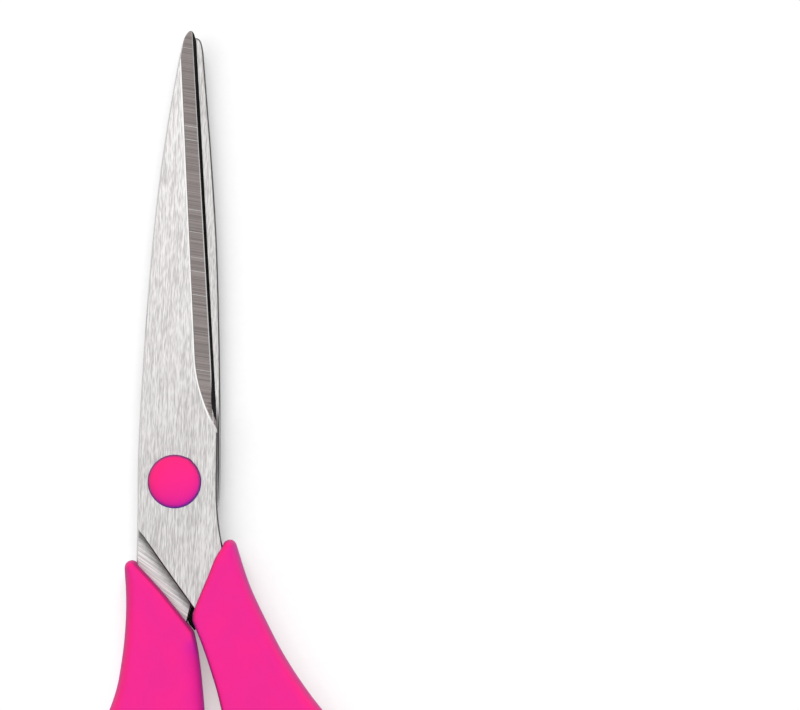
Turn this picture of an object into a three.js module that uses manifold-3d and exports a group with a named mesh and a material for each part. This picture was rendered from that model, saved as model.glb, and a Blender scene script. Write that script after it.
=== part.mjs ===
// Floral snips: two stainless blades crossing on a capped screw pivot, each with its tang
// moulded into a soft-grip handle that ends in a finger loop. Drawn closed, lying flat.
// Millimetres. The origin is on the pivot's axis, on the plane that the snips rest on.
// +Z is up, +Y runs from the pivot to the blade tips, and +X is towards the finger loop.
import * as THREE from "three";
import { mergeVertices } from "three/addons/utils/BufferGeometryUtils.js";
import Module from "manifold-3d";

const wasm = await Module();
wasm.setup();

// ---- Driving dimensions ----
const HANDLE_THICK = 10;
const BLADE_THICK = 2.2;
const BLADE_GAP = 0.2; // running gap between the two blades
const SEAT_GAP = 0.3; // between pieces that are moulded on or pressed together
const TIP_Y = 103.8; // pivot axis to the front blade's tip

const PIVOT_HOLE_R = 3.1;
const SHANK_R = 3;
const THREAD_R = 2;
const HEAD_R = 4;
const HEAD_THICK = 1;
const SLOT_WIDTH = 1.1;
const NUT_R = 4.2;
const NUT_THICK = 1.2;
const WASHER_R = 4.7;
const WASHER_THICK = 0.35;
const WASHER_PLAY = 0.05;
const CAP_R = 6.1;
const CAP_WALL = 0.75;
const CAP_LIFT = 0.15; // from a blade's outer face to the cap's rim
const CAP_SHOULDER = 1.7; // width of the rounding of the rear cap's edge
const CAP_DOME = 2.2; // exponent of the front cap's section: 2 is an ellipse

const GRIND_DEPTH = 1.2; // metal that the main bevel takes off at the cutting edge
const GRIND_WIDTH = 3.6;
const WHEEL_R = 105; // grinding wheel whose run-out ends the main bevel
const HONE_WIDTH = 0.58; // the steep second bevel, seen from above
const HONE_WHEEL_R = 17;
const HONE_LOW = 19.8; // where the second bevel's run-out starts
const SPINE_BREAK = 0.3; // chamfer along the edges that don't cut
const GRIND_LOW = 11.6; // nothing is ground below this
const EDGE_LAND = 0.1; // flat left at the very edge, on the inner face's side

const SKIN = 2.1; // soft grip round the core, seen from above
const LOOP_SKIN = 1.5; // soft grip between the core and the loop liner
const SKIN_TOP = 1.3; // soft grip over and under the core
const EDGE_ROUND = 2.6; // rounding of the grips' long edges
const LINER_WALL = 1.8;
const LINER_LOW = 1.1; // the loop liners stop this far short of the grips' faces
const KEY_HOLE_R = 2; // hole in each tang that the core's key pin fills

const ROUND = 32; // segments of a full circle
const FAR = 150; // further than any point of the part
const SPLINE_STEPS = 3; // segments between two points of an outline
const ARC_STEPS = 8; // segments of a nose's arc
const ROUNDING_STEPS = 2; // segments of a grip's rounded edge

// Layers, from the resting plane up.
const REAR_Z = (HANDLE_THICK - 2 * BLADE_THICK - BLADE_GAP) / 2;
const FRONT_Z = REAR_Z + BLADE_THICK + BLADE_GAP;
const FRONT_TOP_Z = FRONT_Z + BLADE_THICK;

const material = (color, roughness, metalness) =>
  new THREE.MeshStandardMaterial({ color, roughness, metalness });
const STEEL = material(0xd8d6d6, 0.35, 1);
const PINK_GRIP = material(0xff2e91, 0.6, 0);
const PINK_LINER = material(0xf02a88, 0.7, 0);
const PINK_CORE = material(0xd92a80, 0.5, 0);
const BLACK_RUBBER = material(0x0c0c0c, 0.8, 0);
const NYLON = material(0xe9e6dc, 0.5, 0);

// ---- Solids ----
const vec = ([x, y]) => new THREE.Vector2(x, y);

function solidOf(geometry) {
  const bare = geometry.index ? geometry.toNonIndexed() : geometry.clone();
  bare.deleteAttribute("normal");
  bare.deleteAttribute("uv");
  const merged = mergeVertices(bare, 1e-4);
  const vertProperties = merged.attributes.position.array;
  const triVerts = new Uint32Array(merged.index.array);
  return new wasm.Manifold(new wasm.Mesh({ numProp: 3, vertProperties, triVerts }));
}

function geometryOf(solid) {
  const { vertProperties, triVerts } = solid.getMesh();
  const geometry = new THREE.BufferGeometry();
  geometry.setAttribute("position", new THREE.BufferAttribute(vertProperties, 3));
  geometry.setIndex(new THREE.BufferAttribute(triVerts, 1));
  return geometry.toNonIndexed();
}

function cylinder(radius, low, high, x = 0, y = 0, sides = ROUND) {
  const geometry = new THREE.CylinderGeometry(radius, radius, high - low, sides);
  return solidOf(geometry.rotateX(Math.PI / 2).translate(x, y, (low + high) / 2));
}

// A box between two values of each of x, y and z.
function block([left, right], [front, back], [low, high]) {
  const geometry = new THREE.BoxGeometry(right - left, back - front, high - low);
  return solidOf(geometry.translate((left + right) / 2, (front + back) / 2, (low + high) / 2));
}

function lathe(profile) {
  return solidOf(new THREE.LatheGeometry(profile.map(vec), ROUND).rotateX(Math.PI / 2));
}

// A flat plate of the given outline and holes, each a list of Vector2.
function plate(outline, low, high, holes = []) {
  const shape = new THREE.Shape(outline);
  shape.holes = holes.map((points) => new THREE.Path(points));
  const options = { depth: high - low, bevelEnabled: false };
  return solidOf(new THREE.ExtrudeGeometry(shape, options).translate(0, 0, low));
}

// ---- Outlines ----
const smooth = (...points) => new THREE.SplineCurve(points.map(vec));
const straight = (from, to) => new THREE.LineCurve(vec(from), vec(to));

// An arc about (x, y), in degrees, clockwise where end is the smaller.
function arc(x, y, radius, start, end) {
  const [from, to] = [start, end].map(THREE.MathUtils.degToRad);
  return new THREE.EllipseCurve(x, y, radius, radius, from, to, end < start);
}

function stepsOf(curve) {
  if (curve.isLineCurve) return 1;
  return curve.isSplineCurve ? SPLINE_STEPS * (curve.points.length - 1) : ARC_STEPS;
}

const counterClockwise = (points) => (THREE.ShapeUtils.isClockWise(points) ? points.reverse() : points);

// The closed outline along the curves, each of which starts where the one before it ends.
function outlineOf(...curves) {
  const points = curves.flatMap((curve) => curve.getPoints(stepsOf(curve)));
  return counterClockwise(points.filter((p, i) => p.distanceTo(points.at(i - 1)) > 0.02));
}

// Unit vectors that point out of the area inside a counter-clockwise outline.
function outwards(outline) {
  return outline.map((p, i) => {
    const before = p.clone().sub(outline.at(i - 1)).normalize();
    const after = outline[(i + 1) % outline.length].clone().sub(p).normalize();
    const along = before.add(after).normalize();
    return new THREE.Vector2(along.y, -along.x);
  });
}

const closest = (point, outline) =>
  Math.min(...outline.map((a, i) => segmentDistance(point, a, outline.at(i - 1))));

function segmentDistance(point, a, b) {
  const along = b.clone().sub(a);
  const share = point.clone().sub(a).dot(along) / along.lengthSq();
  return point.distanceTo(a.clone().addScaledVector(along, THREE.MathUtils.clamp(share, 0, 1)));
}

// The outline moved outwards by distance, or inwards where that is negative. Points that
// would come too close to another part of the outline are left out.
function offset(outline, distance) {
  const normals = outwards(outline);
  const moved = outline.map((p, i) => p.clone().addScaledVector(normals[i], distance));
  return moved.filter((p) => closest(p, outline) > Math.abs(distance) * 0.98);
}

// How far each point can move into the material, up to radius, before it meets the
// outline's other side. Neighbours differ by no more than their own distance.
function reach(outline, normals, radius) {
  const tries = 16;
  const found = outline.map((p, i) => {
    for (let k = tries; k > 1; k--) {
      const far = (radius * k) / tries;
      const inside = p.clone().addScaledVector(normals[i], far);
      if (closest(inside, outline) > far * 0.97) return far * 0.9;
    }
    return radius / tries;
  });
  for (let pass = 0; pass < outline.length; pass++) {
    for (let i = 0; i < outline.length; i++) {
      const gap = outline[i].distanceTo(outline.at(i - 1));
      found[i] = Math.min(found[i], found.at(i - 1) + gap * 0.6);
      const j = (i + outline.length - 1) % outline.length;
      found[j] = Math.min(found[j], found[i] + gap * 0.6);
    }
  }
  return found;
}

// A solid whose rings all follow one outline. Each ring is [share, z], where share is how
// much of the way towards radius the ring moves along the unit vectors in aside.
function stack(outline, aside, radius, rings) {
  const far = reach(outline, aside, radius);
  const count = outline.length;
  const positions = [];
  const triangles = [];
  for (const [share, z] of rings) {
    outline.forEach((p, i) => {
      const q = p.clone().addScaledVector(aside[i], far[i] * share);
      positions.push(q.x, q.y, z);
    });
  }
  for (let first = 0; first < (rings.length - 1) * count; first += count) {
    for (let i = 0; i < count; i++) {
      const a = first + i;
      const b = first + ((i + 1) % count);
      triangles.push(a, b, b + count, a, b + count, a + count);
    }
  }
  const face = outline.map((_, i) => new THREE.Vector2(positions[3 * i], positions[3 * i + 1]));
  const top = (rings.length - 1) * count;
  for (const [a, b, c] of THREE.ShapeUtils.triangulateShape(face, [])) {
    triangles.push(c, b, a, top + a, top + b, top + c);
  }
  const geometry = new THREE.BufferGeometry();
  geometry.setAttribute("position", new THREE.Float32BufferAttribute(positions, 3));
  geometry.setIndex(triangles);
  return solidOf(geometry);
}

// A plate with rounded rims: outline is its outside, and hole, where given, goes through it.
function roundedPlate(outline, low, high, radius, hole) {
  const lower = [];
  const upper = [];
  for (let k = 0; k <= ROUNDING_STEPS; k++) {
    const angle = (k / ROUNDING_STEPS) * (Math.PI / 2);
    const rise = radius * (1 - Math.cos(angle));
    lower.push([1 - Math.sin(angle), low + rise]);
    upper.unshift([1 - Math.sin(angle), high - rise]);
  }
  const rings = [...lower, ...upper];
  const inwards = outwards(outline).map((n) => n.negate());
  const body = stack(outline, inwards, radius, rings);
  if (!hole) return body;
  return body.subtract(stack(hole, outwards(hole), radius, [[1, low - 1], ...rings, [1, high + 1]]));
}

// ---- Blades ----
// Cutting edges are straight: x is edgeAt(y) on the front blade and its negative on the rear.
const EDGE_TOP = [0.95, 101.6];
const EDGE_END = [9.22, 12.9];

const FRONT_OUTLINE = outlineOf(
  straight(EDGE_TOP, EDGE_END),
  smooth(
    EDGE_END, [9.4, 11.6], [9.6, 3], [9.9, -4], [10.5, -9], [11.4, -13.7],
    [13.4, -21], [17.5, -32], [23, -46],
  ),
  smooth([23, -46], [23.2, -50.5], [19.5, -52.5], [16.2, -49]),
  smooth([16.2, -49], [11.5, -38], [8.3, -32.8], [5.6, -29.1], [-1.9, -19.4], [-8.1, -11.2]),
  smooth(
    [-8.1, -11.2], [-8.5, 1], [-8.6, 10], [-8.3, 26], [-7.8, 42], [-7, 58],
    [-5.9, 72], [-4.5, 84.5], [-2.9, 96], [-2.3, 99.5], [-1.75, 101.9], [-1, 103.3], [-0.3, TIP_Y],
    [0.35, 103.3], EDGE_TOP,
  ),
);

// The rear blade, as seen from above.
const REAR_EDGE_TOP = [-0.9, 100.6];
const REAR_EDGE_END = [-8.1, 15.4];

const REAR_OUTLINE = outlineOf(
  straight(REAR_EDGE_TOP, REAR_EDGE_END),
  smooth(
    REAR_EDGE_END, [-8.3, 14.4], [-8.3, 0], [-8.2, -12], [-8.1, -19],
    [-7.4, -28], [-6.4, -38], [-5, -50],
  ),
  smooth([-5, -50], [-3.4, -53.8], [0.6, -54], [3, -50.5]),
  smooth([3, -50.5], [3.6, -42], [3.8, -35], [4.2, -31.6], [6.6, -20.5], [9.2, -10], [10.4, -3.6]),
  smooth(
    [10.4, -3.6], [10.3, 5], [9.7, 19], [8.7, 37.5], [7.4, 56], [5.7, 73],
    [4.2, 86], [2.9, 97], [2.5, 99.8], [2, 101.5], [1.3, 102.2], [0.4, 102.1], REAR_EDGE_TOP,
  ),
);

// A solid that fills the space above a ground bevel. The bevel falls away from the line
// from start to end by slope, and an arc of the grinding wheel lifts it out past its end.
function bevelCutter(start, end, slope, z, wheel) {
  const from = vec(start);
  const to = vec(end);
  const along = from.clone().sub(to).normalize();
  const across = new THREE.Vector2(along.y, -along.x);
  const angle = Math.atan(slope);
  const forward = new THREE.Vector3(along.x, along.y, 0);
  const up = new THREE.Vector3(across.x, across.y, 0).multiplyScalar(Math.sin(angle));
  up.z = Math.cos(angle);
  const outward = forward.clone().cross(up);
  const reachPast = 12;
  const tall = 6;
  const length = from.distanceTo(to) + reachPast;
  const profile = new THREE.Shape();
  const sweep = Math.acos(1 - tall / wheel);
  profile.moveTo(length, tall);
  profile.lineTo(-wheel * Math.sin(sweep), tall);
  profile.absarc(0, wheel, wheel, -Math.PI / 2 - sweep, -Math.PI / 2);
  profile.lineTo(length, 0);
  const options = { depth: 3 * reachPast, bevelEnabled: false, curveSegments: 30 };
  const tool = new THREE.ExtrudeGeometry(profile, options).translate(0, 0, -reachPast);
  const place = new THREE.Matrix4().makeBasis(forward, up, outward);
  return solidOf(tool.applyMatrix4(place.setPosition(to.x, to.y, z)));
}

// The point at height y on the line through a and b.
const onLine = (a, b, y) => [a[0] + ((b[0] - a[0]) * (y - a[1])) / (b[1] - a[1]), y];

// A blade's blank: its edges are broken on both faces, except along the cutting edge.
function blank(outline) {
  const inwards = outwards(outline).map((n) => n.negate());
  const top = BLADE_THICK;
  const rings = [[1, 0], [0, SPINE_BREAK], [0, top - SPINE_BREAK], [1, top]];
  const edgeSide = block([0, FAR], [GRIND_LOW, FAR], [-FAR, FAR]);
  return stack(outline, inwards, SPINE_BREAK, rings).add(plate(outline, 0, top).intersect(edgeSide));
}

// A blade with its outer face up at z = BLADE_THICK and its cutting edge on the +X side.
// The main bevel's upper limit runs from grindTop to grindEnd, where its run-out starts.
function blade(outline, edgeTop, edgeEnd, grindTop, grindEnd) {
  const left = BLADE_THICK - GRIND_DEPTH;
  const grind = bevelCutter(grindTop, grindEnd, GRIND_DEPTH / GRIND_WIDTH, BLADE_THICK, WHEEL_R);
  const [from, to] = [grindTop[1], HONE_LOW].map((y) => {
    const [x] = onLine(edgeTop, edgeEnd, y);
    return [x - HONE_WIDTH, y];
  });
  const hone = bevelCutter(from, to, (left - EDGE_LAND) / HONE_WIDTH, left, HONE_WHEEL_R);
  const ground = block([-FAR, FAR], [GRIND_LOW, FAR], [-FAR, FAR]);
  return blank(outline)
    .subtract(grind.add(hone).intersect(ground))
    .subtract(cylinder(PIVOT_HOLE_R, -1, BLADE_THICK + 1));
}

function frontBlade() {
  const solid = blade(FRONT_OUTLINE, EDGE_TOP, EDGE_END, [-2.3, 97], [3.46, 29]);
  return solid.translate([0, 0, FRONT_Z]).subtract(tangHole(FRONT_KEY));
}

// The rear blade is ground on the other side and face, so it is made turned over.
function rearBlade() {
  const turned = counterClockwise(REAR_OUTLINE.map((p) => new THREE.Vector2(-p.x, p.y)));
  const [edgeTop, edgeEnd] = [REAR_EDGE_TOP, REAR_EDGE_END].map(([x, y]) => [-x, y]);
  const solid = blade(turned, edgeTop, edgeEnd, [-2.3, 97], [3.2, 31]);
  return solid
    .rotate([0, 180, 0])
    .translate([0, 0, REAR_Z + BLADE_THICK])
    .subtract(tangHole(REAR_KEY));
}

const FRONT_KEY = [16.6, -42];
const REAR_KEY = [-1, -44];
const tangHole = ([x, y]) => cylinder(KEY_HOLE_R, -1, HANDLE_THICK, x, y, 24);

// ---- Handles ----
const RIGHT_OUTLINE = outlineOf(
  smooth([5.3, -31.9], [5.6, -29], [8.35, -21.5], [9.9, -17.2], [11.5, -14.4]),
  arc(13.2, -14.6, 1.65, 170, 20),
  smooth(
    [14.75, -14.04], [18, -22.9], [22.1, -31], [26.8, -39.2], [32.6, -47.3], [39.6, -55.6], [47, -65],
    [52.8, -76], [55.4, -88], [54, -100.5], [48.9, -111.5], [40.6, -119.3], [30.8, -121.4], [22, -116.8],
    [17.2, -106], [15.6, -93], [15.3, -80], [14.9, -67], [13.8, -57], [12.2, -50], [10.2, -43.9],
    [7.7, -37.3], [5.3, -31.9],
  ),
);
const RIGHT_HOLE = outlineOf(
  smooth(
    [28.6, -61.2], [36.2, -64.8], [42.8, -74.2], [46.9, -87], [46, -99], [41.8, -107.8],
    [35.4, -112.8], [28.8, -111.8], [25.2, -104.5], [24.1, -92], [23.7, -79], [23.4, -67.6],
    [24.8, -62.6], [28.6, -61.2],
  ),
);
const LEFT_OUTLINE = outlineOf(
  smooth([5.7, -34.4], [3.15, -31.3], [-0.5, -27], [-3.05, -24.2], [-5.6, -21.6], [-8.2, -19.08]),
  arc(-9.2, -20.2, 1.62, 50, 187.3),
  smooth(
    [-10.81, -20.41], [-10.2, -27], [-10.1, -34], [-10.6, -41.5], [-11.8, -49.2], [-14.6, -56.6],
    [-19.6, -63.4], [-25, -70], [-28.6, -77.6], [-29.8, -86], [-27.9, -94.8], [-22.4, -102],
    [-14.2, -106.4], [-4.8, -106.7], [3.5, -102.4], [8.8, -94.6], [10.8, -84], [10.6, -73],
    [9.9, -62.5], [8.9, -52.5], [7.8, -44], [6.8, -38.4], [5.7, -34.4],
  ),
);
const LEFT_HOLE = outlineOf(
  smooth(
    [-6.4, -64.8], [-12.6, -68], [-17.6, -75], [-20.6, -84.2], [-19.4, -92.2], [-14.6, -97.2],
    [-8.2, -98.6], [-2, -96.4], [1.7, -90.6], [2.4, -82], [1.6, -73], [-1.4, -66.6], [-6.4, -64.8],
  ),
);

// The space round a tang and the shank that leaves the handle.
function slotFor(outline, low) {
  const aboveHandles = -11.5;
  const below = block([-FAR, FAR], [-FAR, aboveHandles], [-FAR, FAR]);
  return plate(offset(outline, SEAT_GAP), low - SEAT_GAP, low + BLADE_THICK + SEAT_GAP).intersect(below);
}

// The rigid moulding round the tang and inside the loop. Its key pin fills the tang's hole.
function handleCore(outline, hole, slot, [keyX, keyY]) {
  const low = SKIN_TOP + SEAT_GAP;
  const ring = offset(hole, LINER_WALL + SEAT_GAP + LOOP_SKIN + SEAT_GAP);
  const body = plate(offset(outline, -SKIN - SEAT_GAP), low, HANDLE_THICK - low, [ring]);
  const pin = cylinder(KEY_HOLE_R - SEAT_GAP, low, HANDLE_THICK - low, keyX, keyY, 24);
  return body.subtract(slot).add(pin);
}

function handleGrip(outline, hole, slot) {
  const outside = roundedPlate(outline, 0, HANDLE_THICK, EDGE_ROUND, offset(hole, LINER_WALL + SEAT_GAP));
  const ring = offset(hole, LINER_WALL + SEAT_GAP + LOOP_SKIN);
  const inside = plate(offset(outline, -SKIN), SKIN_TOP, HANDLE_THICK - SKIN_TOP, [ring]);
  return outside.subtract(inside).subtract(slot);
}

function loopLiner(hole) {
  const outside = offset(hole, LINER_WALL);
  return roundedPlate(outside, LINER_LOW, HANDLE_THICK - LINER_LOW, 0.8, hole);
}

// The rubber stop in the right handle's nose, which meets the rear blade's shank.
const BUMPER_LOW = 1.6;
const BUMPER_HIGH = FRONT_Z - SEAT_GAP;
const BUMPER_OUTLINE = counterClockwise(
  [[5.35, -28.9], [4.55, -31.9], [5.2, -32.5], [6.6, -32.5], [6.6, -31], [6.3, -29.4]].map(vec),
);

const bumper = () => plate(BUMPER_OUTLINE, BUMPER_LOW, BUMPER_HIGH);

function bumperPocket() {
  const outline = offset(BUMPER_OUTLINE, SEAT_GAP);
  return plate(outline, BUMPER_LOW - SEAT_GAP, BUMPER_HIGH + SEAT_GAP);
}

// ---- Pivot ----
const HEAD_Z = FRONT_TOP_Z + 2 * WASHER_PLAY + WASHER_THICK; // underside of the screw's head
const NUT_TOP_Z = REAR_Z - 2 * WASHER_PLAY - WASHER_THICK;

function pivotScrew() {
  const slot = block([-FAR, FAR], [-SLOT_WIDTH / 2, SLOT_WIDTH / 2], [HEAD_Z + HEAD_THICK / 2, FAR]);
  return cylinder(HEAD_R, HEAD_Z, HEAD_Z + HEAD_THICK)
    .subtract(slot)
    .add(cylinder(SHANK_R, REAR_Z + 0.1, HEAD_Z + 0.1))
    .add(cylinder(THREAD_R, NUT_TOP_Z - NUT_THICK, REAR_Z + 0.2));
}

const ring = (outer, inner, low) =>
  cylinder(outer, low, low + WASHER_THICK).subtract(cylinder(inner, low - 1, low + 2));

const headWasher = () => ring(WASHER_R, SHANK_R + 0.1, FRONT_TOP_Z + WASHER_PLAY);
const springWasher = () => ring(WASHER_R, THREAD_R + 0.2, NUT_TOP_Z + WASHER_PLAY);

function pivotNut() {
  const flats = 6;
  const body = cylinder(NUT_R, NUT_TOP_Z - NUT_THICK, NUT_TOP_Z, 0, 0, flats);
  return body.subtract(cylinder(THREAD_R + 0.1, 0, REAR_Z));
}

// The point at a share of a quarter turn from the X axis towards the Y axis, both 1 long.
function quarter(share) {
  const angle = (share * Math.PI) / 2;
  return [Math.cos(angle), Math.sin(angle)];
}

// LatheGeometry turns its profile about Y, so the profile's second number is height, and
// lathe() stands that on Z. A cap's profile runs from the axis out and back to it.
function frontCap() {
  const rim = FRONT_TOP_Z + CAP_LIFT;
  const pocket = HANDLE_THICK - CAP_WALL - 0.3;
  const washerTop = FRONT_TOP_Z + 0.8;
  const steps = 9;
  const dome = [];
  for (let k = 1; k <= steps; k++) {
    const [across, up] = quarter(k / steps).map((v) => v ** (2 / CAP_DOME));
    dome.push([k < steps ? CAP_R * across : 0, rim + (HANDLE_THICK - rim) * up]);
  }
  const inside = [[0, pocket], [HEAD_R + 0.25, pocket], [WASHER_R + 0.3, washerTop], [WASHER_R + 0.3, rim]];
  return lathe([...inside, [CAP_R, rim], ...dome]);
}

function rearCap() {
  const rim = REAR_Z - CAP_LIFT;
  const tall = 1.4;
  const steps = 6;
  const side = [];
  for (let k = steps; k >= 0; k--) {
    const [across, up] = quarter(k / steps);
    side.push([CAP_R - CAP_SHOULDER * (1 - across), tall * (1 - up)]);
  }
  const inside = [[WASHER_R + 0.3, rim], [WASHER_R + 0.3, CAP_WALL], [0, CAP_WALL]];
  return lathe([[0, 0], ...side, [CAP_R - 0.15, rim], ...inside]);
}

// ---- Assembly ----
const part = new THREE.Group();
const frontHalf = new THREE.Group();
const rearHalf = new THREE.Group();
part.add(rearHalf, frontHalf);

function add(group, name, solid, look) {
  const mesh = new THREE.Mesh(geometryOf(solid), look);
  mesh.name = name;
  group.add(mesh);
}

const frontSlot = slotFor(FRONT_OUTLINE, FRONT_Z);
const rearSlot = slotFor(REAR_OUTLINE, REAR_Z);
const rightCore = handleCore(RIGHT_OUTLINE, RIGHT_HOLE, frontSlot, FRONT_KEY);
const rightGrip = handleGrip(RIGHT_OUTLINE, RIGHT_HOLE, frontSlot).subtract(bumperPocket());
const leftCore = handleCore(LEFT_OUTLINE, LEFT_HOLE, rearSlot, REAR_KEY);
const leftGrip = handleGrip(LEFT_OUTLINE, LEFT_HOLE, rearSlot);

add(frontHalf, "front_blade", frontBlade(), STEEL);
add(frontHalf, "right_handle_core", rightCore, PINK_CORE);
add(frontHalf, "right_handle_grip", rightGrip, PINK_GRIP);
add(frontHalf, "right_loop_liner", loopLiner(RIGHT_HOLE), PINK_LINER);
add(frontHalf, "stop_bumper", bumper(), BLACK_RUBBER);

add(rearHalf, "rear_blade", rearBlade(), STEEL);
add(rearHalf, "left_handle_core", leftCore, PINK_CORE);
add(rearHalf, "left_handle_grip", leftGrip, PINK_GRIP);
add(rearHalf, "left_loop_liner", loopLiner(LEFT_HOLE), PINK_LINER);
add(rearHalf, "pivot_screw", pivotScrew(), STEEL);
add(rearHalf, "head_washer", headWasher(), NYLON);
add(rearHalf, "spring_washer", springWasher(), STEEL);
add(rearHalf, "pivot_nut", pivotNut(), STEEL);
add(rearHalf, "front_cap", frontCap(), PINK_GRIP);
add(rearHalf, "rear_cap", rearCap(), PINK_GRIP);

export default part;
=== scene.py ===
# Floral snips, closed and lying flat, seen from straight above.
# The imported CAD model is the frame. The blades, handle cores and pivot hardware are its own
# nodes with finer edges. The grips, loop liners, stop and caps are smooth pieces that stand
# for theirs.
# Outlines and sizes below are in millimetres; pieces are made in metres.
import math

import bmesh
import bpy
import numpy as np
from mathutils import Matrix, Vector


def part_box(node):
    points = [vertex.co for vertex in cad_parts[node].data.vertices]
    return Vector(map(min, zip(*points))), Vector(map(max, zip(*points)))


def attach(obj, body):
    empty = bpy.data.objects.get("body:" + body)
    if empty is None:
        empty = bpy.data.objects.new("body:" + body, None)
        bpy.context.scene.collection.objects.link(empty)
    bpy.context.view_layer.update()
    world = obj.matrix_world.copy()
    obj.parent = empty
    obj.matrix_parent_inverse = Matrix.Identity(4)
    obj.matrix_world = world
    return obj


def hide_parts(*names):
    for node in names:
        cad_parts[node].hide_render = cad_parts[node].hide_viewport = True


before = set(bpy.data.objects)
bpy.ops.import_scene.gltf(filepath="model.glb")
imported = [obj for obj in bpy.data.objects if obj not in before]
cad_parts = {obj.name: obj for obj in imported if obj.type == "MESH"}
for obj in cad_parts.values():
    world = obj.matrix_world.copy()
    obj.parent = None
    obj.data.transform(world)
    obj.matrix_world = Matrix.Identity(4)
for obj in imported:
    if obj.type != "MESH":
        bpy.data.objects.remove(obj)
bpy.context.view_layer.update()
MM = 0.001

# Sizes that the CAD model has too.
THICK = 10.0  # the handles, and the snips from the rear cap's face to the front cap's top
SKIN = 2.1  # the soft grip over the rigid core
LOOP_SKIN = 1.5  # the soft grip between the core and the liner's bed
SEAT = 0.3  # the clearance between bonded pieces
LINER = 1.8
CORE_HALF_THICK = 3.7
BLADE_HALF_THICK = 1.1
# The front blade's cutting edge, the upper limit of its bevel, and its back over the shank.
# The rear blade's edge and bevel are their mirror images.
EDGE_TOP, EDGE_END = (0.95, 101.6), (9.22, 12.9)
GRIND_TOP, GRIND_END = (-2.3, 97), (3.46, 29)
BACK_TOP, BACK_END = (-8.1, -11.2), (5.6, -29.1)

# Light linking: what the violet fill reaches, and what the side light leaves out.
PINK_PIECES = bpy.data.collections.new("pink_pieces")
NOT_FOR_PINK = bpy.data.collections.new("not_for_pink")


# ---- Camera, floor and light ----
def make_camera():
    """Straight down from far away, with the snips turned a little and left of the middle."""
    width, lens, tilt = 184 * MM, 200, math.radians(2.23)
    middle = Vector((50.7, 31.1, 7.3)) * MM
    data = bpy.data.cameras.new("camera")
    data.lens = lens
    data.clip_start, data.clip_end = 0.01, 20
    camera = bpy.data.objects.new("camera", data)
    bpy.context.collection.objects.link(camera)
    distance = width * lens / data.sensor_width
    camera.location = middle + Vector((0, 0, distance))
    camera.rotation_euler = (0, 0, tilt)
    bpy.context.scene.camera = camera


def lamp(name, energy, colour):
    """A soft light that is as strong everywhere, like a large panel far away."""
    data = bpy.data.lights.new(name, "SUN")
    data.energy, data.color, data.angle = energy, colour, math.radians(41)
    light = bpy.data.objects.new(name, data)
    bpy.context.collection.objects.link(light)
    return light


def aim(obj, azimuth, elevation):
    a, e = math.radians(azimuth), math.radians(elevation)
    away = Vector((math.cos(a) * math.cos(e), math.sin(a) * math.cos(e), math.sin(e)))
    obj.location = away
    obj.rotation_mode = "QUATERNION"
    obj.rotation_quaternion = away.to_track_quat("Z", "Y")


def make_light():
    """A key from beyond the tips that nothing mirrors, a weaker light from the left that passes
    the soft pink pieces by, and a violet fill from the handles' end for them alone."""
    white = (1.0, 1.0, 1.0)
    key = lamp("key", 2.4, white)
    aim(key, 95, 48)
    key.visible_glossy = False
    side = lamp("side", 0.9, white)
    aim(side, 172, 48)
    side.light_linking.receiver_collection = NOT_FOR_PINK
    side.light_linking.blocker_collection = NOT_FOR_PINK
    fill = lamp("violet_fill", 3.8, (0.1, 0.06, 1.0))
    aim(fill, -66, 20)
    fill.light_linking.receiver_collection = PINK_PIECES


# ---- Node helpers ----
def put(tree, kind, inputs=None, **settings):
    node = tree.nodes.new(kind)
    for key, value in settings.items():
        setattr(node, key, value)
    for key, value in (inputs or {}).items():
        socket = node.inputs[key]
        if isinstance(value, bpy.types.NodeSocket):
            tree.links.new(value, socket)
        else:
            socket.default_value = value
    return node


def math_node(tree, operation, *values):
    node = put(tree, "ShaderNodeMath", dict(enumerate(values)), operation=operation)
    return node.outputs[0]


def steps(tree, value, low, high, low_to=0.0, high_to=1.0):
    """A smooth step: low_to where value is at low, and high_to where it is at high."""
    inputs = {
        "Value": value, "From Min": low, "From Max": high, "To Min": low_to, "To Max": high_to
    }
    return put(tree, "ShaderNodeMapRange", inputs, interpolation_type="SMOOTHSTEP").outputs[0]


def mix(tree, factor, a, b):
    node = put(tree, "ShaderNodeMix", {0: factor, 6: a, 7: b}, data_type="RGBA")
    return node.outputs[2]


def blend(tree, factor, a, b):
    """mix, for values."""
    return put(tree, "ShaderNodeMix", {0: factor, 2: a, 3: b}).outputs[0]


def product(tree, *masks):
    """Masks multiplied together."""
    joined = masks[0]
    for mask in masks[1:]:
        joined = math_node(tree, "MULTIPLY", joined, mask)
    return joined


def left_of(tree, x, y, start, end):
    """Millimetres to the left of the line that runs from start to end."""
    dx, dy = end[0] - start[0], end[1] - start[1]
    length = math.hypot(dx, dy)
    shift = (dy * start[0] - dx * start[1]) / length
    part = math_node(tree, "MULTIPLY_ADD", y, dx / length, shift)
    return math_node(tree, "MULTIPLY_ADD", x, -dy / length, part)


def grey(value, red=1.0, blue=1.0):
    """A grey, with its red and its blue scaled to tint it."""
    return (value * red, value, value * blue, 1.0)


def noise(tree, place, scale, detail=3.0, turn=0.0):
    """Noise with features of about 1/scale mm along each axis, turned about Z."""
    moved = put(
        tree, "ShaderNodeMapping", {"Vector": place, "Rotation": (0, 0, turn)}, vector_type="POINT"
    )
    scaled = put(
        tree, "ShaderNodeVectorMath",
        {0: moved.outputs[0], 1: tuple(s / MM for s in scale)}, operation="MULTIPLY",
    )
    inputs = {"Vector": scaled.outputs[0], "Scale": 1.0, "Detail": detail, "Roughness": 0.55}
    return put(tree, "ShaderNodeTexNoise", inputs).outputs["Fac"]


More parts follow.
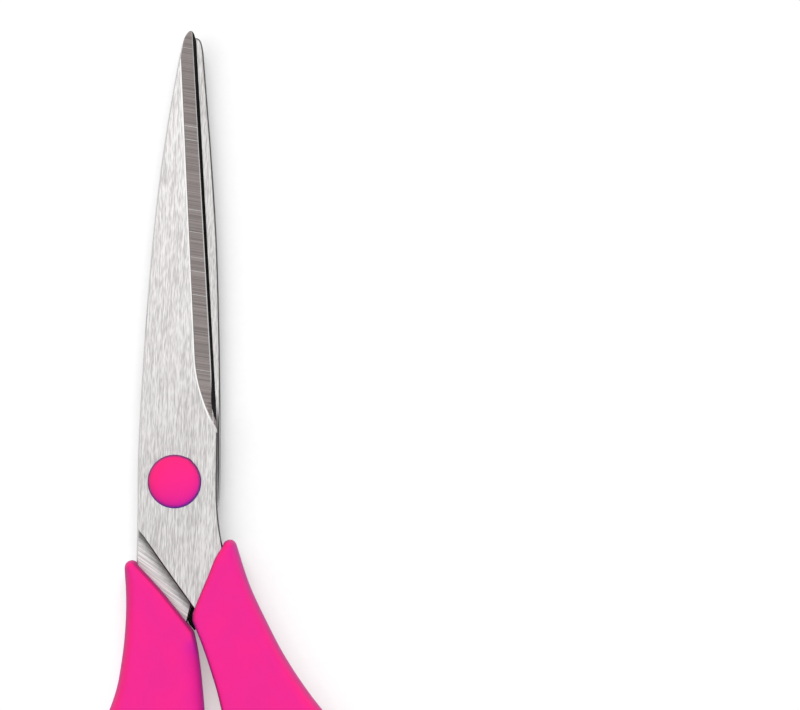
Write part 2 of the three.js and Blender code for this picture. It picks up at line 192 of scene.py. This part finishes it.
def new_material(name, roughness, metallic=0.0, level=0.5):
    material = bpy.data.materials.new(name)
    material.use_nodes = True
    tree = material.node_tree
    shader = tree.nodes["Principled BSDF"]
    shader.inputs["Metallic"].default_value = metallic
    shader.inputs["Specular IOR Level"].default_value = level
    shader.inputs["Roughness"].default_value = roughness
    place = tree.nodes.new("ShaderNodeTexCoord").outputs["Object"]
    return material, tree, shader, place


def bump(tree, shader, height, distance_mm):
    inputs = {"Height": height, "Distance": distance_mm * MM, "Strength": 1.0}
    tree.links.new(put(tree, "ShaderNodeBump", inputs).outputs[0], shader.inputs["Normal"])


# ---- Materials ----
def blade_steel(name, side, low, high, shade_width, shank_turn):
    """Brushed along the flats, ground across the bevels, and painted black as shade on the honed
    edge. side is 1 where the cutting edge is towards +X, and -1 on the blade that is its mirror
    image. low and high are how bright the flats are painted at the shank and at the tip, as
    painted shading. The shank has a painted shade along the front blade's back, fading over the
    width given in mm, and shank_turn turns its grinding marks, if it has any."""
    material, tree, shader, place = new_material(name, 0.3, 1.0)
    at = put(tree, "ShaderNodeSeparateXYZ", {0: place})
    along_x = math_node(tree, "MULTIPLY", at.outputs[0], 1 / MM)
    x = math_node(tree, "MULTIPLY", along_x, side)
    y = math_node(tree, "MULTIPLY", at.outputs[1], 1 / MM)
    offset = (0.1 * side, 0.1 * side, 0)
    place = put(tree, "ShaderNodeVectorMath", {0: place, 1: offset}).outputs[0]

    lines = brushed_lines(tree, place)
    rough_shank = 0.0
    if shank_turn:
        rough_shank = steps(tree, y, -6, -11)
        marks = noise(tree, place, (0.06, 3.6, 1.0), 3, shank_turn)
        lines = blend(tree, rough_shank, lines, marks)
    dim, bright = grey(0.53, 1.035, 0.99), grey(0.89, 1.025, 0.995)
    flat = mix(tree, steps(tree, lines, 0.34, 0.66), dim, bright)
    # Painted shading: the flats darken towards the shank and take the painted shade line.
    painted_shading = steps(tree, y, -20, 92, low, high)
    if shank_turn:
        # Painted light: the rear shank is painted a little brighter.
        painted_shading = math_node(tree, "MULTIPLY", painted_shading, steps(tree, y, -6, -11, 1.0, 1.1))
    # Painted shade along the front blade's back, taken out of the flats' colour.
    unshaded = math_node(tree, "SUBTRACT", 1.0, painted_shade_line(tree, place, along_x, y, shade_width))
    painted_shading = math_node(tree, "MULTIPLY", painted_shading, unshaded)
    painted_shading = put(tree, "ShaderNodeCombineXYZ", {0: painted_shading, 1: painted_shading, 2: painted_shading}).outputs[0]
    flat = mix(tree, 1.0, flat, painted_shading)
    flat.node.blend_type = "MULTIPLY"

    # How far past the bevel's upper limit, which its run-out bends to the edge, and how far in
    # from that edge.
    run_out = math_node(tree, "MAXIMUM", math_node(tree, "SUBTRACT", GRIND_END[1], y), 0)
    run_out = math_node(tree, "MULTIPLY", math_node(tree, "MULTIPLY", run_out, run_out), 0.0143)
    past = math_node(tree, "SUBTRACT", left_of(tree, x, y, GRIND_TOP, GRIND_END), run_out)
    edge = left_of(tree, x, y, EDGE_END, EDGE_TOP)
    ground = ground_bevel(tree, place, past, edge)

    # True normals tell the flats from the bevels, the chamfers, the honed band and the sides.
    facing = put(tree, "ShaderNodeNewGeometry").outputs["True Normal"]
    upward = put(tree, "ShaderNodeSeparateXYZ", {0: facing}).outputs[2]
    level = math_node(tree, "ABSOLUTE", upward)
    outer = steps(tree, math_node(tree, "MULTIPLY", upward, side), 0.9, 0.96)
    # A painted highlight runs along the bevel's upper limit.
    painted_highlight = product(
        tree, steps(tree, past, -0.34, -0.16), steps(tree, y, 13, 16), steps(tree, past, 0.12, 0.0)
    )
    flat = mix(tree, product(tree, painted_highlight, outer), flat, grey(1.0))
    # The chamfers are painted lit on the left and painted in shade on the right.
    left_rim = grey(0.6, 1.03)
    right_rim = grey(0.13)
    if side > 0:
        # Painted shade: the front blade's back over the shank is near black.
        left_rim = mix(tree, steps(tree, y, -9, -12), left_rim, grey(0.08))
    else:
        # Painted shadow: the rear blade's back is dark where it shows beside the pivot.
        outline = math_node(tree, "MULTIPLY_ADD", y, -0.042, 10.5)
        inwards = math_node(tree, "SUBTRACT", outline, along_x)
        painted_shadow_beside_pivot = product(tree, steps(tree, inwards, 0.9, 0.5), steps(tree, y, 19, 13))
        flat = mix(tree, painted_shadow_beside_pivot, flat, grey(0.1))
        # Painted shade on the rear blade's right chamfer is lighter towards the shank.
        right_rim = mix(tree, steps(tree, y, 12, 20), grey(0.5), right_rim)
    rim = mix(tree, steps(tree, along_x, -2, 1), left_rim, right_rim)
    colour = mix(tree, steps(tree, level, 0.97, 0.985), ground, flat)
    colour = mix(tree, steps(tree, level, 0.78, 0.86), rim, colour)
    # Painted shade: the steep honed facets and the honed band are painted black.
    black = grey(0.004)
    colour = mix(tree, steps(tree, level, 0.6, 0.66), black, colour)
    honed = product(
        tree, steps(tree, edge, 1.2, 1.0), steps(tree, y, 11.5, 13), steps(tree, level, 0.92, 0.86)
    )
    colour = mix(tree, honed, colour, black)
    # Painted shade: the blades' side walls are painted near black.
    colour = mix(tree, steps(tree, level, 0.2, 0.3), grey(0.1, 1.02), colour)
    tree.links.new(colour, shader.inputs["Base Color"])
    rough = steps(tree, lines, 0.35, 0.65, 0.36, 0.28)
    tree.links.new(blend(tree, rough_shank, rough, 0.42), shader.inputs["Roughness"])
    bump(tree, shader, lines, 0.01)
    return material


def brushed_lines(tree, place):
    """Fine lines along the blade, of three lengths."""
    short = noise(tree, place, (4.8, 0.5, 1.0), 1)
    long = noise(tree, place, (4.2, 0.12, 1.0), 1)
    broad = noise(tree, place, (0.45, 0.03, 1.0), 1)
    lines = math_node(tree, "MULTIPLY_ADD", short, 0.5, math_node(tree, "MULTIPLY", long, 0.4))
    return math_node(tree, "MULTIPLY_ADD", broad, 0.1, lines)


def painted_shade_line(tree, place, x, y, width):
    """A ragged painted shade on the shank along the front blade's back. It fades over width mm in
    the open, and six times as fast under that blade."""
    under = left_of(tree, x, y, BACK_TOP, BACK_END)
    off = math_node(tree, "MULTIPLY", under, 6)
    off = math_node(tree, "MAXIMUM", off, math_node(tree, "MULTIPLY", under, -1))
    ragged = math_node(tree, "MULTIPLY_ADD", noise(tree, place, (1.2, 1.2, 1.0), 3), 0.8, -0.4)
    off = math_node(tree, "MAXIMUM", math_node(tree, "ADD", off, ragged), 0)
    shade_amount = math_node(tree, "POWER", steps(tree, off, width, 0.0), 1.6)
    return product(tree, math_node(tree, "MULTIPLY", shade_amount, 0.8), steps(tree, y, -9, -13))


def ground_bevel(tree, place, past, edge):
    """Fine marks across the bevel, a few bright scratches, a dark rim at its upper limit, and
    a painted highlight just above the honed edge."""
    across = noise(tree, place, (0.016, 4.6, 0.02), 2, 0.12)
    dim, bright = grey(0.27, 1.15, 0.965), grey(0.5, 1.13, 0.97)
    ground = mix(tree, steps(tree, across, 0.28, 0.72), dim, bright)
    scratch = noise(tree, place, (0.01, 2.6, 0.01), 0, 0.12)
    ground = mix(tree, steps(tree, scratch, 0.75, 0.78), ground, grey(1.0))
    ground = mix(tree, steps(tree, past, 0.3, 0.0), ground, grey(0.3, 1.12, 0.97))
    # Painted highlight just above the honed edge.
    painted_edge_highlight = product(tree, steps(tree, edge, 0.9, 0.8), steps(tree, edge, 0.63, 0.67))
    return mix(tree, painted_edge_highlight, ground, grey(1.0))


def turned_steel():
    material, tree, shader, place = new_material("turned_steel", 0.35, 1.0)
    speck = noise(tree, place, (2.5, 2.5, 6.0), 4)
    colour = mix(tree, speck, grey(0.35, 1.02), grey(0.62, 1.02))
    tree.links.new(colour, shader.inputs["Base Color"])
    tree.links.new(steps(tree, speck, 0.2, 0.8, 0.28, 0.45), shader.inputs["Roughness"])
    bump(tree, shader, speck, 0.02)
    return material


def soft_pink(name, light, dark, rim, shoulder, roughness=0.62):
    """Soft-touch rubber: faint mottling, a very fine grain and a faint sheen. Its colour deepens
    to rim, a painted shade, where a face is steep, from where its normal's height is below
    shoulder."""
    material, tree, shader, place = new_material(name, roughness, 0.0, 0.22)
    shader.inputs["Sheen Weight"].default_value = 0.08
    shader.inputs["Sheen Roughness"].default_value = 0.5
    shader.inputs["Sheen Tint"].default_value = (0.8, 0.3, 1.0, 1.0)
    cloud = noise(tree, place, (0.16, 0.12, 0.16), 2)
    colour = mix(tree, steps(tree, cloud, 0.3, 0.7), dark, light)
    facing = put(tree, "ShaderNodeNewGeometry").outputs["Normal"]
    level = math_node(tree, "ABSOLUTE", put(tree, "ShaderNodeSeparateXYZ", {0: facing}).outputs[2])
    # Painted shade on the steep sides.
    colour = mix(tree, steps(tree, level, 0.15, shoulder), rim, colour)
    tree.links.new(colour, shader.inputs["Base Color"])
    grain = noise(tree, place, (7, 7, 7), 3)
    rough = steps(tree, grain, 0.25, 0.75, roughness - 0.06, roughness + 0.06)
    tree.links.new(rough, shader.inputs["Roughness"])
    bump(tree, shader, grain, 0.015)
    return material


def plain(name, light, dark, scale, roughness, level=0.4):
    """An even material with fine specks, scale of them to a millimetre."""
    material, tree, shader, place = new_material(name, roughness, 0.0, level)
    speck = noise(tree, place, (scale, scale, scale), 4)
    tree.links.new(mix(tree, speck, dark, light), shader.inputs["Base Color"])
    rough = steps(tree, speck, 0.2, 0.8, roughness - 0.08, roughness + 0.08)
    tree.links.new(rough, shader.inputs["Roughness"])
    bump(tree, shader, speck, 0.02)
    return material


# ---- Floor and world ----
def make_floor():
    """White paper, which glows a little so that the lamps needn't whiten it."""
    bpy.ops.mesh.primitive_plane_add(size=6, location=(0, 0, -0.00005))
    floor = bpy.context.object
    floor.name = "floor"
    material, tree, shader, place = new_material("floor_paper", 0.9, 0.0, 0.0)
    speck = noise(tree, place, (0.5, 0.5, 0.5), 3)
    tree.links.new(mix(tree, speck, grey(0.69), grey(0.72)), shader.inputs["Base Color"])
    shader.inputs["Emission Color"].default_value = grey(1.0)
    shader.inputs["Emission Strength"].default_value = 0.19
    floor.data.materials.append(material)


def make_world():
    """A pale studio, brightest overhead. What lights the pieces is dimmer low down and towards
    the lower right. What they mirror there is brighter, and brightest on the left."""
    world = bpy.data.worlds.new("studio")
    bpy.context.scene.world = world
    world.use_nodes = True
    tree = world.node_tree
    place = tree.nodes.new("ShaderNodeTexCoord").outputs["Generated"]
    at = put(tree, "ShaderNodeSeparateXYZ", {0: place}).outputs
    overhead = steps(tree, at[2], 0.6, 0.98, 0.13, 1.0)
    aside = put(
        tree, "ShaderNodeVectorMath", {0: place, 1: (0.6, -0.8, 0)}, operation="DOT_PRODUCT"
    ).outputs["Value"]
    light = product(tree, overhead, steps(tree, aside, 0.1, 0.7, 1.0, 0.4))
    walls = product(tree, steps(tree, at[2], 0.7, 0.3), steps(tree, at[0], -0.5, 0.5, 0.7, 0.3))
    mirrored = math_node(tree, "MULTIPLY", math_node(tree, "MAXIMUM", light, walls), 1.18)
    path = tree.nodes.new("ShaderNodeLightPath")
    light = blend(tree, path.outputs["Is Glossy Ray"], light, mirrored)
    light = blend(tree, path.outputs["Is Camera Ray"], light, 1.0)
    background = tree.nodes["Background"]
    tree.links.new(mix(tree, light, grey(0.0), grey(1.0)), background.inputs["Color"])
    background.inputs["Strength"].default_value = 1.0


# ---- Outlines ----
def spline(points, closed=False):
    """Points along the smooth curve through these, as in the CAD model."""
    p = np.array(points, float)
    n = len(p)
    out = []
    for i in range(n if closed else n - 1):
        def at(k):
            return p[k % n] if closed else p[min(max(k, 0), n - 1)]
        a, b, c, d = at(i - 1), at(i), at(i + 1), at(i + 2)
        for t in np.linspace(0, 1, 10, endpoint=False):
            out.append(
                0.5 * (2 * b + (c - a) * t + (2 * a - 5 * b + 4 * c - d) * t**2
                       + (3 * b - a - 3 * c + d) * t**3)
            )
    return out


def arc(x, y, radius, start, end):
    angles = np.radians(np.linspace(start, end, 14, endpoint=False))
    return [np.array((x + radius * math.cos(a), y + radius * math.sin(a))) for a in angles]


RIGHT_OUTLINE = (
    spline([(5.3, -31.9), (5.6, -29), (8.35, -21.5), (9.9, -17.2), (11.5, -14.4)])
    + arc(13.2, -14.6, 1.65, 170, 20)
    + spline([
        (14.75, -14.04), (18, -22.9), (22.1, -31), (26.8, -39.2), (32.6, -47.3), (39.6, -55.6),
        (47, -65), (52.8, -76), (55.4, -88), (54, -100.5), (48.9, -111.5), (40.6, -119.3),
        (30.8, -121.4), (22, -116.8), (17.2, -106), (15.6, -93), (15.3, -80), (14.9, -67),
        (13.8, -57), (12.2, -50), (10.2, -43.9), (7.7, -37.3), (5.3, -31.9),
    ])
)
RIGHT_HOLE = spline([
    (28.6, -61.2), (36.2, -64.8), (42.8, -74.2), (46.9, -87), (46, -99), (41.8, -107.8),
    (35.4, -112.8), (28.8, -111.8), (25.2, -104.5), (24.1, -92), (23.7, -79), (23.4, -67.6),
    (24.8, -62.6),
], closed=True)
LEFT_OUTLINE = (
    spline([
        (5.7, -34.4), (3.15, -31.3), (-0.5, -27), (-3.05, -24.2), (-5.6, -21.6), (-8.2, -19.08),
    ])
    + arc(-9.2, -20.2, 1.62, 50, 187.3)
    + spline([
        (-10.81, -20.41), (-10.2, -27), (-10.1, -34), (-10.6, -41.5), (-11.8, -49.2),
        (-14.6, -56.6), (-19.6, -63.4), (-25, -70), (-28.6, -77.6), (-29.8, -86), (-27.9, -94.8),
        (-22.4, -102), (-14.2, -106.4), (-4.8, -106.7), (3.5, -102.4), (8.8, -94.6), (10.8, -84),
        (10.6, -73), (9.9, -62.5), (8.9, -52.5), (7.8, -44), (6.8, -38.4), (5.7, -34.4),
    ])
)
LEFT_HOLE = spline([
    (-6.4, -64.8), (-12.6, -68), (-17.6, -75), (-20.6, -84.2), (-19.4, -92.2), (-14.6, -97.2),
    (-8.2, -98.6), (-2, -96.4), (1.7, -90.6), (2.4, -82), (1.6, -73), (-1.4, -66.6),
], closed=True)


def segments(outline):
    points = np.array(outline)
    return np.stack([points, np.roll(points, -1, 0)], 1)


def top_face_segments(node):
    """The edges round a CAD node's highest flat face, in any order."""
    mesh = bmesh.new()
    mesh.from_mesh(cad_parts[node].data)
    top = max(v.co.z for v in mesh.verts)
    bmesh.ops.remove_doubles(mesh, verts=mesh.verts, dist=1e-6)
    flat = {f for f in mesh.faces if abs(f.calc_center_median().z - top) < 1e-6}
    edges = [e for e in mesh.edges if len(flat.intersection(e.link_faces)) == 1]
    found = np.array([[v.co.xy / MM for v in e.verts] for e in edges], float)
    mesh.free()
    return found


def inside_distance(x, y, edges):
    """Distance to a closed outline given by its edges: positive inside, negative outside."""
    px, py = x.ravel(), y.ravel()
    nearest = np.full(px.shape, 1e9)
    odd = np.zeros(px.shape, bool)
    for (ax, ay), (bx, by) in edges:
        ux, uy = bx - ax, by - ay
        share = np.clip(((px - ax) * ux + (py - ay) * uy) / (ux * ux + uy * uy + 1e-12), 0, 1)
        nearest = np.minimum(nearest, np.hypot(px - ax - share * ux, py - ay - share * uy))
        if ay != by:
            odd ^= ((ay > py) != (by > py)) & (px < ux * (py - ay) / uy + ax)
    return np.where(odd, nearest, -nearest).reshape(x.shape)


# ---- Meshes ----
def link(obj, node, body, material):
    """Puts a new piece in the scene, on its body and in place of its CAD node."""
    bpy.context.collection.objects.link(obj)
    if "pink" in material.name:
        obj.visible_diffuse = False  # so that it casts no pink light on the floor
        PINK_PIECES.objects.link(obj)
        NOT_FOR_PINK.objects.link(obj)
    obj.data.materials.append(material)
    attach(obj, body)
    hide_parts(node)


def surface(field, low, step):
    """A mesh of quads where field crosses zero. It is negative inside; low is its first point."""
    inside = field < 0
    total = np.zeros(tuple(n - 1 for n in field.shape) + (3,))
    count = np.zeros(total.shape[:3])
    grid = np.indices(field.shape).astype(float)
    quads = []
    for axis in range(3):
        cut = [slice(None)] * 3
        far = [slice(None)] * 3
        cut[axis], far[axis] = slice(None, -1), slice(1, None)
        a, b = field[tuple(cut)], field[tuple(far)]
        crossing = inside[tuple(cut)] != inside[tuple(far)]
        where = np.argwhere(crossing)
        share = (a / np.where(a == b, 1, a - b))[crossing]
        points = where.astype(float)
        points[:, axis] += share
        first, second = [k for k in range(3) if k != axis]
        around = []
        for di, dj in ((0, 0), (1, 0), (1, 1), (0, 1)):
            cell = where.copy()
            cell[:, first] -= di
            cell[:, second] -= dj
            around.append(cell)
            np.add.at(total, tuple(cell.T), points)
            np.add.at(count, tuple(cell.T), 1)
        going_out = inside[tuple(cut)][crossing]
        turn = going_out if axis != 1 else ~going_out
        corners = np.stack(around, 1)
        corners[~turn] = corners[~turn][:, ::-1]
        quads.append(corners)
    quads = np.concatenate(quads)
    flat_index = np.ravel_multi_index(tuple(quads.reshape(-1, 3).T), count.shape)
    used, faces = np.unique(flat_index, return_inverse=True)
    points = total.reshape(-1, 3)[used] / count.reshape(-1)[used][:, None]
    return np.array(low) + points * step, faces.reshape(-1, 4)


def mesh_object(name, points, faces):
    mesh = bpy.data.meshes.new(name)
    mesh.from_pydata(list(map(tuple, points * MM)), [], [list(map(int, f)) for f in faces])
    mesh.validate()
    mesh.shade_smooth()
    return bpy.data.objects.new(name, mesh)


def pillow(side, height, rounding, power=2.4):
    """Field of a plate with fully rounded rims: side is the plan distance in from the rim."""
    rim = np.clip((rounding - side) / rounding, 0, None)
    rim = np.where(side > 0, rim, 1 - side / rounding)
    return (rim**power + height**power) ** (1 / power) - 1


def plan_grid(edges, step, margin=1.5):
    low = edges.reshape(-1, 2).min(0) - margin
    high = edges.reshape(-1, 2).max(0) + margin
    x, y = (np.arange(a, b, step) for a, b in zip(low, high))
    z = np.arange(-1.2, THICK + 1.2 + step, step)
    x, y = np.meshgrid(x, y, indexing="ij")
    return x, y, z, (low[0], low[1], z[0])


def even_out(obj, times):
    smooth = obj.modifiers.new("even", "SMOOTH")
    smooth.factor, smooth.iterations = 0.5, times


def make_grip(name, outline, hole, blade, rounding, body):
    """A grip with a cavity for the core and a slot for the blade's shank."""
    step = 0.4
    x, y, z, low = plan_grid(segments(outline), step)
    side = inside_distance(x, y, segments(outline))
    clear = -inside_distance(x, y, segments(hole)) - LINER - SEAT
    shank = inside_distance(x, y, top_face_segments(blade)) + SEAT
    up = z[None, None, :]
    tall = np.abs(up - THICK / 2) / (THICK / 2)
    radius = rounding(x, y, clear)[..., None]
    field = pillow(np.minimum(side, clear)[..., None], tall, radius) * radius
    room = np.minimum(side - SKIN, clear - LOOP_SKIN)[..., None]
    cavity = np.minimum(room, CORE_HALF_THICK - np.abs(up - THICK / 2))
    blade_middle = sum(corner[2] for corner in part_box(blade)) / 2 / MM
    slot = np.minimum(shank[..., None], BLADE_HALF_THICK + SEAT - np.abs(up - blade_middle))
    points, faces = surface(np.maximum(field, np.maximum(cavity, slot)), low, step)
    obj = mesh_object(name, points, faces)
    even_out(obj, 3)
    link(obj, name, body, PINK)


def make_liner(name, hole, body):
    """A loop's lining. It all but fills the clearance to the grip, so that no slit shows."""
    step = 0.3
    edges = segments(hole)
    x, y, z, low = plan_grid(edges, step, LINER + 1.5)
    away = -inside_distance(x, y, edges)
    side = np.minimum(away, LINER + SEAT - 0.05 - away)[..., None]
    half_tall = THICK / 2 - 1.1
    rounding = 0.8
    field = pillow(side, np.abs(z[None, None, :] - THICK / 2) / half_tall, rounding, 2.0)
    points, faces = surface(field * rounding, low, step)
    obj = mesh_object(name, points, faces)
    even_out(obj, 2)
    link(obj, name, body, PINK_LINER)


def make_stop():
    """The rubber stop, rounded, and set against the rear blade's shank."""
    step = 0.1
    rounding = 0.3
    edges = segments([
        (4.86, -28.4), (5.6, -28.9), (6.4, -30), (6.6, -32.6), (6.2, -33.7), (5.85, -34.3),
        (5.35, -33.75), (4.5, -32.85), (4.15, -32), (4.22, -31.6), (4.8, -28.9),
    ])
    low, high = (corner[2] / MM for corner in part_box("stop_bumper"))
    x, y, z, corner = plan_grid(edges, step, 0.6)
    side = inside_distance(x, y, edges)[..., None]
    tall = np.abs(z[None, None, :] - (low + high) / 2) / ((high - low) / 2)
    points, faces = surface(pillow(side, tall, rounding, 3.0) * rounding, corner, step)
    obj = mesh_object("stop_bumper", points, faces)
    link(obj, "stop_bumper", "finger_half", RUBBER)


def make_cap(name, profile, nib):
    """A turned cap: profile is [(radius, height), ...] from the axis out and back to it. nib
    is how far the moulding's gate mark stands out of the rim, 58 degrees round from +X."""
    count = 120
    points = []
    rim = max(radius for radius, _ in profile)
    for radius, height in profile:
        for k in range(count):
            angle = 2 * math.pi * k / count
            share = max(0, 1 - abs(math.degrees(angle) - 58) / 9) ** 0.5
            reach = radius + nib * share * max(0, 1 - 4 * (rim - radius) / rim)
            points.append((reach * math.cos(angle), reach * math.sin(angle), height))
    faces = [list(range(count))[::-1], list(range(len(points) - count, len(points)))]
    for ring in range(0, len(points) - count, count):
        for k in range(count):
            after = (k + 1) % count
            faces.append([ring + k, ring + after, ring + count + after, ring + count + k])
    link(mesh_object(name, np.array(points), faces), name, "thumb_half", PINK_CAP)


AXIS = 0.02  # the radius at which a turned profile closes


def front_profile():
    """Over the pivot screw's head: a pocket, a flat rim and a full dome."""
    rim, pocket, wall, radius = 7.45, 8.95, 5.0, 5.96
    profile = [
        (AXIS, pocket), (4.25, pocket), (wall, 8.1), (wall, rim), (6.0, rim), (6.17, rim + 0.08)
    ]
    low = rim + 0.5
    for angle in np.linspace(0, math.pi / 2, 19):
        across, up = (max(v, 0) ** (2 / 2.2) for v in (math.cos(angle), math.sin(angle)))
        profile.append((max(radius * across, AXIS), low + (THICK - low) * up))
    return profile


def rear_profile():
    """Over the nut: a flat face to lie on, with a rounded rim."""
    pocket, wall, rim, radius = 0.75, 5.0, 2.55, 6.14
    profile = [(AXIS, pocket), (wall, pocket), (wall, rim), (5.95, rim), (radius, 2.42)]
    for angle in np.linspace(0, math.pi / 2, 13):
        profile.append((radius - 1.7 * (1 - math.cos(angle)), 1.5 * (1 - math.sin(angle))))
    return [*profile, (2.0, 0.0), (AXIS, 0.0)]


def refine(node, material, width, angle=30):
    """Gives a CAD node its material and rounds its edges a little, leaving its mesh as it is."""
    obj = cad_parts[node]
    obj.modifiers.new("weld", "WELD").merge_threshold = 1e-6
    planar = obj.modifiers.new("planar", "DECIMATE")
    planar.decimate_type, planar.angle_limit = "DISSOLVE", math.radians(0.3)
    edge = obj.modifiers.new("edges", "BEVEL")
    edge.width, edge.segments, edge.limit_method = width * MM, 2, "ANGLE"
    edge.angle_limit, edge.use_clamp_overlap = math.radians(angle), False
    obj.data.materials.clear()
    obj.data.materials.append(material)


# ---- How round the grips are ----
def ease(value, low, high):
    share = np.clip((value - low) / (high - low), 0, 1)
    return share * share * (3 - 2 * share)


def right_rounding(x, y, _):
    """Tight along the collar's edge over the front blade and along the gap, and full elsewhere."""
    from_collar = 0.927 * (x - 5.6) - 0.375 * (y + 29)
    from_gap = 0.947 * (x - 5.3) + 0.321 * (y + 31.9)
    away = ease(np.minimum(from_collar, from_gap), 0.8, 3.8)
    return 0.9 + 2.1 * np.maximum(away, ease(-y, 52, 60))


def left_rounding(x, y, clear):
    """Tight along the collar's edge over the rear blade, and fullest beside the right handle."""
    from_collar = -0.74 * (x + 8.2) - 0.672 * (y + 19.1)
    full = 1.8 + 2.8 * ease(x, -2, 4) * ease(-y, 34, 42) * ease(clear, 0, 6)
    return 0.9 + full * ease(from_collar, 0.8, 3.8)


# ---- Assembly ----
make_camera()
make_light()
make_world()
make_floor()

# Painted shade for the pink pieces' steep sides, and a darker one for the caps.
PINK_RIM_SHADE = (0.62, 0.02, 0.2, 1)
CAP_RIM_SHADE = (0.25, 0.03, 0.17, 1)
PINK = soft_pink("soft_pink", (0.94, 0.02, 0.205, 1), (0.88, 0.02, 0.21, 1), PINK_RIM_SHADE, 0.72)
PINK_CAP = soft_pink("cap_pink", (1.0, 0.02, 0.185, 1), (0.97, 0.02, 0.19, 1), CAP_RIM_SHADE, 1.0)
PINK_LINER = soft_pink("liner_pink", (0.88, 0.011, 0.195, 1), (0.8, 0.012, 0.2, 1), PINK_RIM_SHADE, 0.72, 0.7)
PINK_CORE = plain("core_pink", (0.7, 0.023, 0.22, 1), (0.6, 0.02, 0.2, 1), 0.8, 0.5)
RUBBER = plain("stop_rubber", grey(0.004), grey(0.001), 1.5, 0.8, 0.06)
NYLON = plain("nylon", grey(0.8, 1.03, 0.92), grey(0.7, 1.03, 0.9), 1.2, 0.5)
PIVOT_STEEL = turned_steel()

refine("front_blade", blade_steel("front_steel", 1, 0.88, 1.07, 1.2, 0.0), 0.03, 10)
refine("rear_blade", blade_steel("rear_steel", -1, 0.94, 0.9, 3.2, 0.58), 0.03, 10)
for node in ("pivot_screw", "spring_washer", "pivot_nut"):
    refine(node, PIVOT_STEEL, 0.05)
refine("head_washer", NYLON, 0.04)
for node in ("right_handle_core", "left_handle_core"):
    refine(node, PINK_CORE, 0.2)

make_grip(
    "right_handle_grip", RIGHT_OUTLINE, RIGHT_HOLE, "front_blade", right_rounding, "finger_half"
)
make_grip("left_handle_grip", LEFT_OUTLINE, LEFT_HOLE, "rear_blade", left_rounding, "thumb_half")
make_stop()
make_liner("right_loop_liner", RIGHT_HOLE, "finger_half")
make_liner("left_loop_liner", LEFT_HOLE, "thumb_half")
make_cap("front_cap", front_profile(), 0.14)
make_cap("rear_cap", rear_profile(), 0.1)

for piece in NOT_FOR_PINK.collection_objects:
    piece.light_linking.link_state = "EXCLUDE"

scene = bpy.context.scene
scene.view_settings.view_transform = "Standard"
